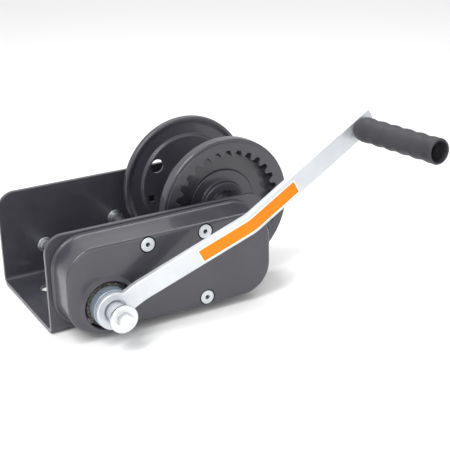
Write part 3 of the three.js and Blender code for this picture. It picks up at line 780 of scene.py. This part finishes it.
def make_drum():
    make_ring_gear()
    make_far_flange()
    low, high = corners_of("drum_barrel")
    profile = tube(BARREL - BARREL_WALL, BARREL, low.y, high.y)
    fit(turned("barrel_tube", profile, DRUM, 0.4), "drum", COAT, "drum_barrel")
    bush_bore = 12.35
    for node in ("drum_bush_near", "drum_bush_far"):
        low, high = corners_of(node)
        profile = tube(bush_bore, FLANGE_BORE - 0.3, low.y, high.y)
        fit(turned(node + "_sleeve", profile, DRUM, 0.5), "drum", OILED, node)


# ---- shafts, bushes and bolts ----

CLIP = 11.5
COLLAR = 8.8
COLLAR_LIP = 1.4
BEARING = 12
BEARING_LIP = 15
RIVET = 6
RIVET_HEAD = 11
AXLE_HEX = 24
AXLE_WASHER = 15
AXLE_SLEEVE = 12


def make_rods():
    """Rods, washers and sleeves that reach as far in Y as the CAD nodes they stand for."""
    rows = (
        ("cross_rod", "cross_shaft", CROSS, "cross_shaft", ZINC, 0, SHAFT, 1.0),
        ("counter_rod", "countershaft", COUNTER, "countershaft", STEEL, 0, SHAFT, 1.0),
        ("drive_retainer", "drive_shaft_clip", INPUT, "drive_shaft", ZINC, BORE, CLIP, 0.35),
        ("cross_retainer", "cross_shaft_clip", CROSS, "cross_shaft", ZINC, BORE, CLIP, 0.35),
        ("drum_axle_washer", "axle_washer", DRUM, "root", DULL_ZINC, BORE, AXLE_WASHER, 0.5),
        ("drum_axle_sleeve", "axle_tube", DRUM, "root", ZINC, BORE, AXLE_SLEEVE, 0.35),
    )
    for name, node, at, body, material, bore, radius, edge in rows:
        low, high = corners_of(node)
        fit(turned(name, tube(bore, radius, low.y, high.y), at, edge), body, material, node)


def make_bushes():
    """The lipped bushes in the plates; the near ones stand 0.3 mm out of the plate."""
    proud = 0.3
    for node, at in (("drive_bush", INPUT), ("cross_bush", CROSS)):
        for side, sign, out in (("near", -1, proud), ("far", 1, 0)):
            outer = sign * (PLATE + out)
            inner = sign * (PLATE_IN - 0.3)
            lip = inner - sign * COLLAR_LIP
            profile = [
                (BORE, outer), (COLLAR, outer), (COLLAR, inner),
                (COLLAR + 1, inner), (COLLAR + 1, lip), (BORE, lip),
            ]
            fit(turned(f"{node}_{side}_collar", profile, at, 0.35), "root", ZINC, f"{node}_{side}")
    outer = -PLATE - proud
    inner = -PLATE_IN + 0.3
    end = -57.5
    profile = [
        (BORE, outer), (BEARING, outer), (BEARING, inner), (BEARING_LIP, inner),
        (BEARING_LIP, inner + 3), (BEARING, inner + 4), (BEARING, end), (BORE, end),
    ]
    fit(turned("counter_bearing", profile, COUNTER, 0.5), "root", BRONZE, "countershaft_bush")
    head = inner + 4
    tip = -98
    profile = [(0, head), (RIVET_HEAD, head), (RIVET_HEAD, inner), (RIVET, inner), (RIVET, tip), (0, tip)]
    fit(turned("idler_rivet", profile, STUD, [0, 1.8, 0.3, 0.2, 0.8, 0]), "root", ZINC, "idler_stud")


def make_axle_bolt():
    head_front, head_back = 83.3, 93
    tip, nut_front, nut_back = -79.5, -74.7, -61.7
    head = standing_plate("head", [hexagon(AXLE_HEX)], head_front, head_back, 0.8, DRUM, 0.3)
    shank = turned("shank", tube(0, SHAFT, tip, head_front + 0.7), DRUM, 0.8)
    fit(joined("drum_axle_bolt", head, shank), "root", ZINC, "axle_bolt")
    loops = [hexagon(AXLE_HEX), circle(BORE + 0.1)]
    nut = standing_plate("drum_axle_nut", loops, nut_front, nut_back, 0.8, DRUM, 0.2)
    fit(nut, "root", DULL_ZINC, "axle_nut")


def make_pinion():
    """The pinion, turned so that its teeth stand in the gaps of the ring gear's."""
    line = math.atan2(COUNTER[1] - DRUM[1], COUNTER[0] - DRUM[0])
    phase = line + (RING_PHASE - line) * RING_TEETH / PINION_TEETH
    root, tip = 14.2, 20.6
    front, back = -56.5, -43
    loops = [gear_loop(PINION_TEETH, root, tip, 0.5, corner=0.6), circle(BORE)]
    pinion = standing_plate("drum_pinion", loops, front, back, 0.4, COUNTER, phase)
    fit(pinion, "countershaft", STEEL, "countershaft_pinion")


def make_shafts():
    make_rods()
    make_bushes()
    make_axle_bolt()
    make_pinion()


# ---- brake and cap, in front of the cover ----

HUB_BORE = SHAFT + 0.4
LINING_BACK = -112.2
LINING_FRONT = -118.1
LINING_EDGE = 25.6
HUB = 22.1
HUB_BACK = -118.5
HUB_FACE = -130.7
HUB_FRONT = -154.8
NECK = 11
CAP = 15.8
CAP_BACK = -156
CAP_FRONT = -160
CAP_BOLT = 5
CAP_HEX = 15


def make_hub():
    """The pressure hub: a drum in front of the lining, and a grooved neck through the crank's eye."""
    drum = turned("hub_drum", tube(HUB_BORE, HUB, HUB_BACK, HUB_FACE), INPUT, [0.2, 0.5, 0.9, 0.2], 120)
    start = HUB_FACE + 2
    groove = HUB_FRONT + 5
    profile = [
        (HUB_BORE, start), (NECK, start), (NECK, groove + 1.2), (NECK - 1, groove + 0.4),
        (NECK - 1, groove - 0.4), (NECK, groove - 1.2), (NECK, HUB_FRONT), (HUB_BORE, HUB_FRONT),
    ]
    neck = turned("hub_neck", profile, INPUT, [0, 0, 0.2, 0.2, 0.2, 0.2, 0.8, 0.4])
    fit(drum, "crank", HUB_ZINC, "pressure_hub")
    fit(neck, "crank", ARM_ZINC)


def make_cap():
    washer = tube(CAP_BOLT + 0.4, CAP, CAP_BACK, CAP_FRONT)
    fit(turned("end_cap_washer", washer, INPUT, [0.3, 0.6, 0.9, 0.3], 120), "drive_shaft", ZINC, "cap_washer")
    face = CAP_FRONT - 0.3
    head = standing_plate("head", [hexagon(CAP_HEX)], face - 6, face, 0.9, INPUT, 0.45)
    shank = turned("shank", tube(0, CAP_BOLT, CAP_FRONT - 1, CAP_BACK - 0.4), INPUT, 0)
    fit(joined("end_cap_bolt", head, shank), "drive_shaft", ZINC, "cap_bolt")


def make_brake():
    lining = tube(HUB_BORE, LINING_EDGE, LINING_FRONT, LINING_BACK)
    fit(turned("outer_lining", lining, INPUT, 0.5), "pressure_disc", LINING, "outer_friction_disc")
    make_hub()
    low, high = corners_of("drive_shaft")
    shaft = turned("input_rod", tube(0, SHAFT, low.y, high.y), INPUT, 0.8)
    fit(shaft, "drive_shaft", ZINC, "drive_shaft")
    make_cap()


# ---- crank ----

CRANK_PLACE = Matrix.Translation((INPUT[0], 0, INPUT[1])) @ Matrix.Rotation(-CRANK_ANGLE, 4, "Y")
EYE_HOLE = 12.9
STUD_HOLE = 6.3


def crank_line(s):
    """The strip's middle line: y and slope at distance s from the hub, with soft bends."""
    y = CRANK_FRONT + CRANK_THICK / 2
    slope = CRANK_SLOPES[0]
    for bend, before, after in zip(CRANK_BENDS, CRANK_SLOPES, CRANK_SLOPES[1:]):
        change = after - before
        t = min(max((s - bend + CRANK_SOFT) / (2 * CRANK_SOFT), 0), 1)
        y += change * CRANK_SOFT * t * t + change * max(s - bend - CRANK_SOFT, 0)
        slope += change * t
    return y, slope


def bent(s, n, w):
    """A point of the flat strip on the bent crank; W points to the front."""
    y, slope = crank_line(s)
    size = math.hypot(1, slope)
    local = Vector((s + w * slope / size, y - w / size, n))
    return CRANK_PLACE @ local


def bend_cuts():
    return [bend + d for bend in CRANK_BENDS for d in range(-CRANK_SOFT, CRANK_SOFT + 1, 2)]


def make_crank():
    """The strip with its round eye, and the step that shows in the eye round the hub's neck."""
    opening, steps, root = 34.5, 60, CRANK_EYE + 1.6
    outline = arc(CRANK_EYE, opening, 360 - opening, steps) + [
        (root, -CRANK_HALF), (CRANK_LENGTH, -CRANK_HALF), (CRANK_LENGTH, CRANK_HALF), (root, CRANK_HALF),
    ]
    radii = [0] * (steps + 1) + [5, 2.5, 2.5, 5]
    loops = [soften(outline, radii, 6), circle(EYE_HOLE), circle(STUD_HOLE, (GRIP_AT, 0), 40)]
    bm = plate_bm(loops, CRANK_THICK, 1.3)
    slice_bm(bm, Vector((1, 0, 0)), bend_cuts())
    arm = finished(mapped(bm, bent), "arm_strip")
    profile = tube(NECK + 0.3, EYE_HOLE + 0.5, CRANK_FRONT + 3, CRANK_FRONT + CRANK_THICK - 1)
    step = turned("eye_step", profile, INPUT, 0.4)
    fit(joined("crank_handle_arm", arm, step), "crank", ARM_ZINC, "crank_arm")


LABEL_START = 106
LABEL_END = 235.5
LABEL_LOW = -9.4
LABEL_HIGH = 7.4


def make_label():
    """A white film on the strip's front, and the orange panel that leaves a white border."""
    for name, inset, lift, material in (("label_film", 0, 0.12, WHITE), ("label_panel", 1.1, 0.2, ORANGE)):
        outline = rounded_box(
            LABEL_START + inset, LABEL_END - inset, LABEL_LOW + inset, LABEL_HIGH - inset,
            1.4 - inset * 0.6, 4,
        )
        bm = plate_bm([outline], 0.1, 0.02)
        slice_bm(bm, Vector((1, 0, 0)), [c for c in bend_cuts() if c > LABEL_START])
        mapped(bm, lambda s, n, w: bent(s, n, w + CRANK_THICK / 2 + lift))
        fit(finished(bm, name), "crank", material)


# ---- grip ----

GRIP = 14.1
GRIP_DIP = 1
GRIP_PITCH = 20
GRIP_LENGTH = 124
GRIP_HOLLOW = 101
GRIP_START = -CRANK_THICK / 2 - 0.8
GRIP_END = GRIP_START - GRIP_LENGTH
GRIP_FLOOR = GRIP_START - GRIP_HOLLOW


def grip_place():
    """Where the strip's middle line crosses the grip's axis; the grip stands square to the strip."""
    y, slope = crank_line(GRIP_AT)
    return CRANK_PLACE @ Matrix.Translation((GRIP_AT, y, 0)) @ Matrix.Rotation(math.atan(slope), 4, "Z")


def make_sleeve():
    """The grip's sleeve: a flange at the strip, finger waves, and a hollow with an open end."""
    profile = [(STUD_HOLE, GRIP_START), (10.4, GRIP_START), (11.6, GRIP_START - 0.9)]
    profile += [(13.2, GRIP_START - 5), (14.2, GRIP_START - 9)]
    waves = 60
    for i in range(1, waves):
        y = GRIP_START - 10 - (GRIP_LENGTH - 17) * i / waves
        swell = math.cos(2 * math.pi * (y - GRIP_START + 4) / GRIP_PITCH)
        profile.append((GRIP - GRIP_DIP * (1 + swell) / 2, y))
    profile += [(13.9, GRIP_END + 6), (GRIP, GRIP_END + 1.6), (13.5, GRIP_END + 0.3), (12.4, GRIP_END)]
    profile += [(11.6, GRIP_END + 0.2), (11.2, GRIP_END + 1.6), (11.1, GRIP_FLOOR), (STUD_HOLE, GRIP_FLOOR)]
    grip = finished(turned_bm(profile, (0, 0)), "grip_sleeve")
    fit(placed(grip, grip_place()), "grip", PLASTIC, "grip")


def make_grip():
    """The sleeve, and the stud it turns on: riveted in the strip, with a head in the hollow."""
    make_sleeve()
    shank, rivet_head, end_head = 6, 9.5, 9.6
    face = CRANK_THICK / 2
    inside = GRIP_FLOOR - 0.6
    profile = [
        (0, face + 2.8), (rivet_head - 1.9, face + 2.8), (rivet_head, face + 0.3), (shank, face + 0.3),
        (shank, inside), (end_head, inside), (end_head, inside - 2.4), (0, inside - 3.6),
    ]
    stud = turned("stud", profile, (0, 0), [0, 2, 0.3, 0.1, 0.1, 0.3, 1.2, 0])
    fit(placed(stud, grip_place()), "crank", ZINC, "grip_stud")


# ---- parts that stay as the CAD made them ----


CAD_STEEL = (
    "cover_standoff_1", "cover_standoff_2", "cover_standoff_3", "idler_clip", "pawl_pin", "pawl_spring",
    "pawl_clip", "pawl", "drive_pinion", "brake_collar", "ratchet_wheel", "stud_idler_gear",
    "cross_idler_gear", "countershaft_gear",
)


def dress(node, material):
    """Gives a CAD node its material; all of these are behind the cover."""
    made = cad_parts[node]
    made.data.materials.clear()
    made.data.materials.append(material)
    made.data.set_sharp_from_angle(angle=math.radians(30))


def dress_cad():
    for node in CAD_STEEL:
        dress(node, STEEL)
    dress("inner_friction_disc", LINING)


# ---- stage ----


def area_light(name, at, target, size, power):
    data = bpy.data.lights.new(name, "AREA")
    data.shape = "RECTANGLE"
    data.size, data.size_y = size
    data.energy = power
    lamp = bpy.data.objects.new(name, data)
    lamp.location = at
    lamp.rotation_euler = (Vector(target) - Vector(at)).to_track_quat("-Z", "Y").to_euler()
    bpy.context.scene.collection.objects.link(lamp)


def make_stage():
    bpy.ops.mesh.primitive_plane_add(size=40, location=(0, 0, -0.0005))
    floor = bpy.context.object
    floor.name = "floor"
    paint = bpy.data.materials.new("pale_floor")
    paint.use_nodes = True
    shader = paint.node_tree.nodes["Principled BSDF"]
    shader.inputs["Base Color"].default_value = (0.9, 0.9, 0.9, 1)
    shader.inputs["Roughness"].default_value = 0.9
    floor.data.materials.append(paint)
    world = bpy.data.worlds.new("studio")
    world.use_nodes = True
    world.node_tree.nodes["Background"].inputs["Color"].default_value = (1, 1, 1, 1)
    world.node_tree.nodes["Background"].inputs["Strength"].default_value = 0.86
    bpy.context.scene.world = world
    bpy.context.scene.view_settings.view_transform = "Standard"
    area_light("key", (-0.75, -0.5, 1.25), (0, 0, 0.08), (0.3, 1.1), 15)
    area_light("fill", (0.1, -1.4, 0.3), (0, 0, 0.08), (0.9, 0.5), 3)
    area_light("top", (0.35, 0.35, 1.3), (0.05, 0, 0.08), (1.3, 0.5), 7)


def make_camera():
    """The photograph's viewing angle: a long lens from the front left, looking down."""
    position = Vector((-0.4801, -1.1193, 0.5645))
    yaw, pitch, roll = 0.4967, 0.3866, -0.0241
    pixels, focal_pixels = 450, 1108.3
    data = bpy.data.cameras.new("camera")
    data.sensor_width = 36
    data.lens = focal_pixels / pixels * data.sensor_width
    forward = Vector((math.sin(yaw) * math.cos(pitch), math.cos(yaw) * math.cos(pitch), -math.sin(pitch)))
    right = Vector((math.cos(yaw), -math.sin(yaw), 0))
    up = right.cross(forward)
    tilted_right = right * math.cos(roll) + up * math.sin(roll)
    tilted_up = up * math.cos(roll) - right * math.sin(roll)
    camera = bpy.data.objects.new("camera", data)
    matrix = Matrix((tilted_right, tilted_up, -forward)).transposed().to_4x4()
    matrix.translation = position
    camera.matrix_world = matrix
    bpy.context.scene.collection.objects.link(camera)
    bpy.context.scene.camera = camera


make_stage()
make_camera()
make_frame()
make_cover()
make_screws()
make_drum()
make_shafts()
make_brake()
make_crank()
make_label()
make_grip()
dress_cad()
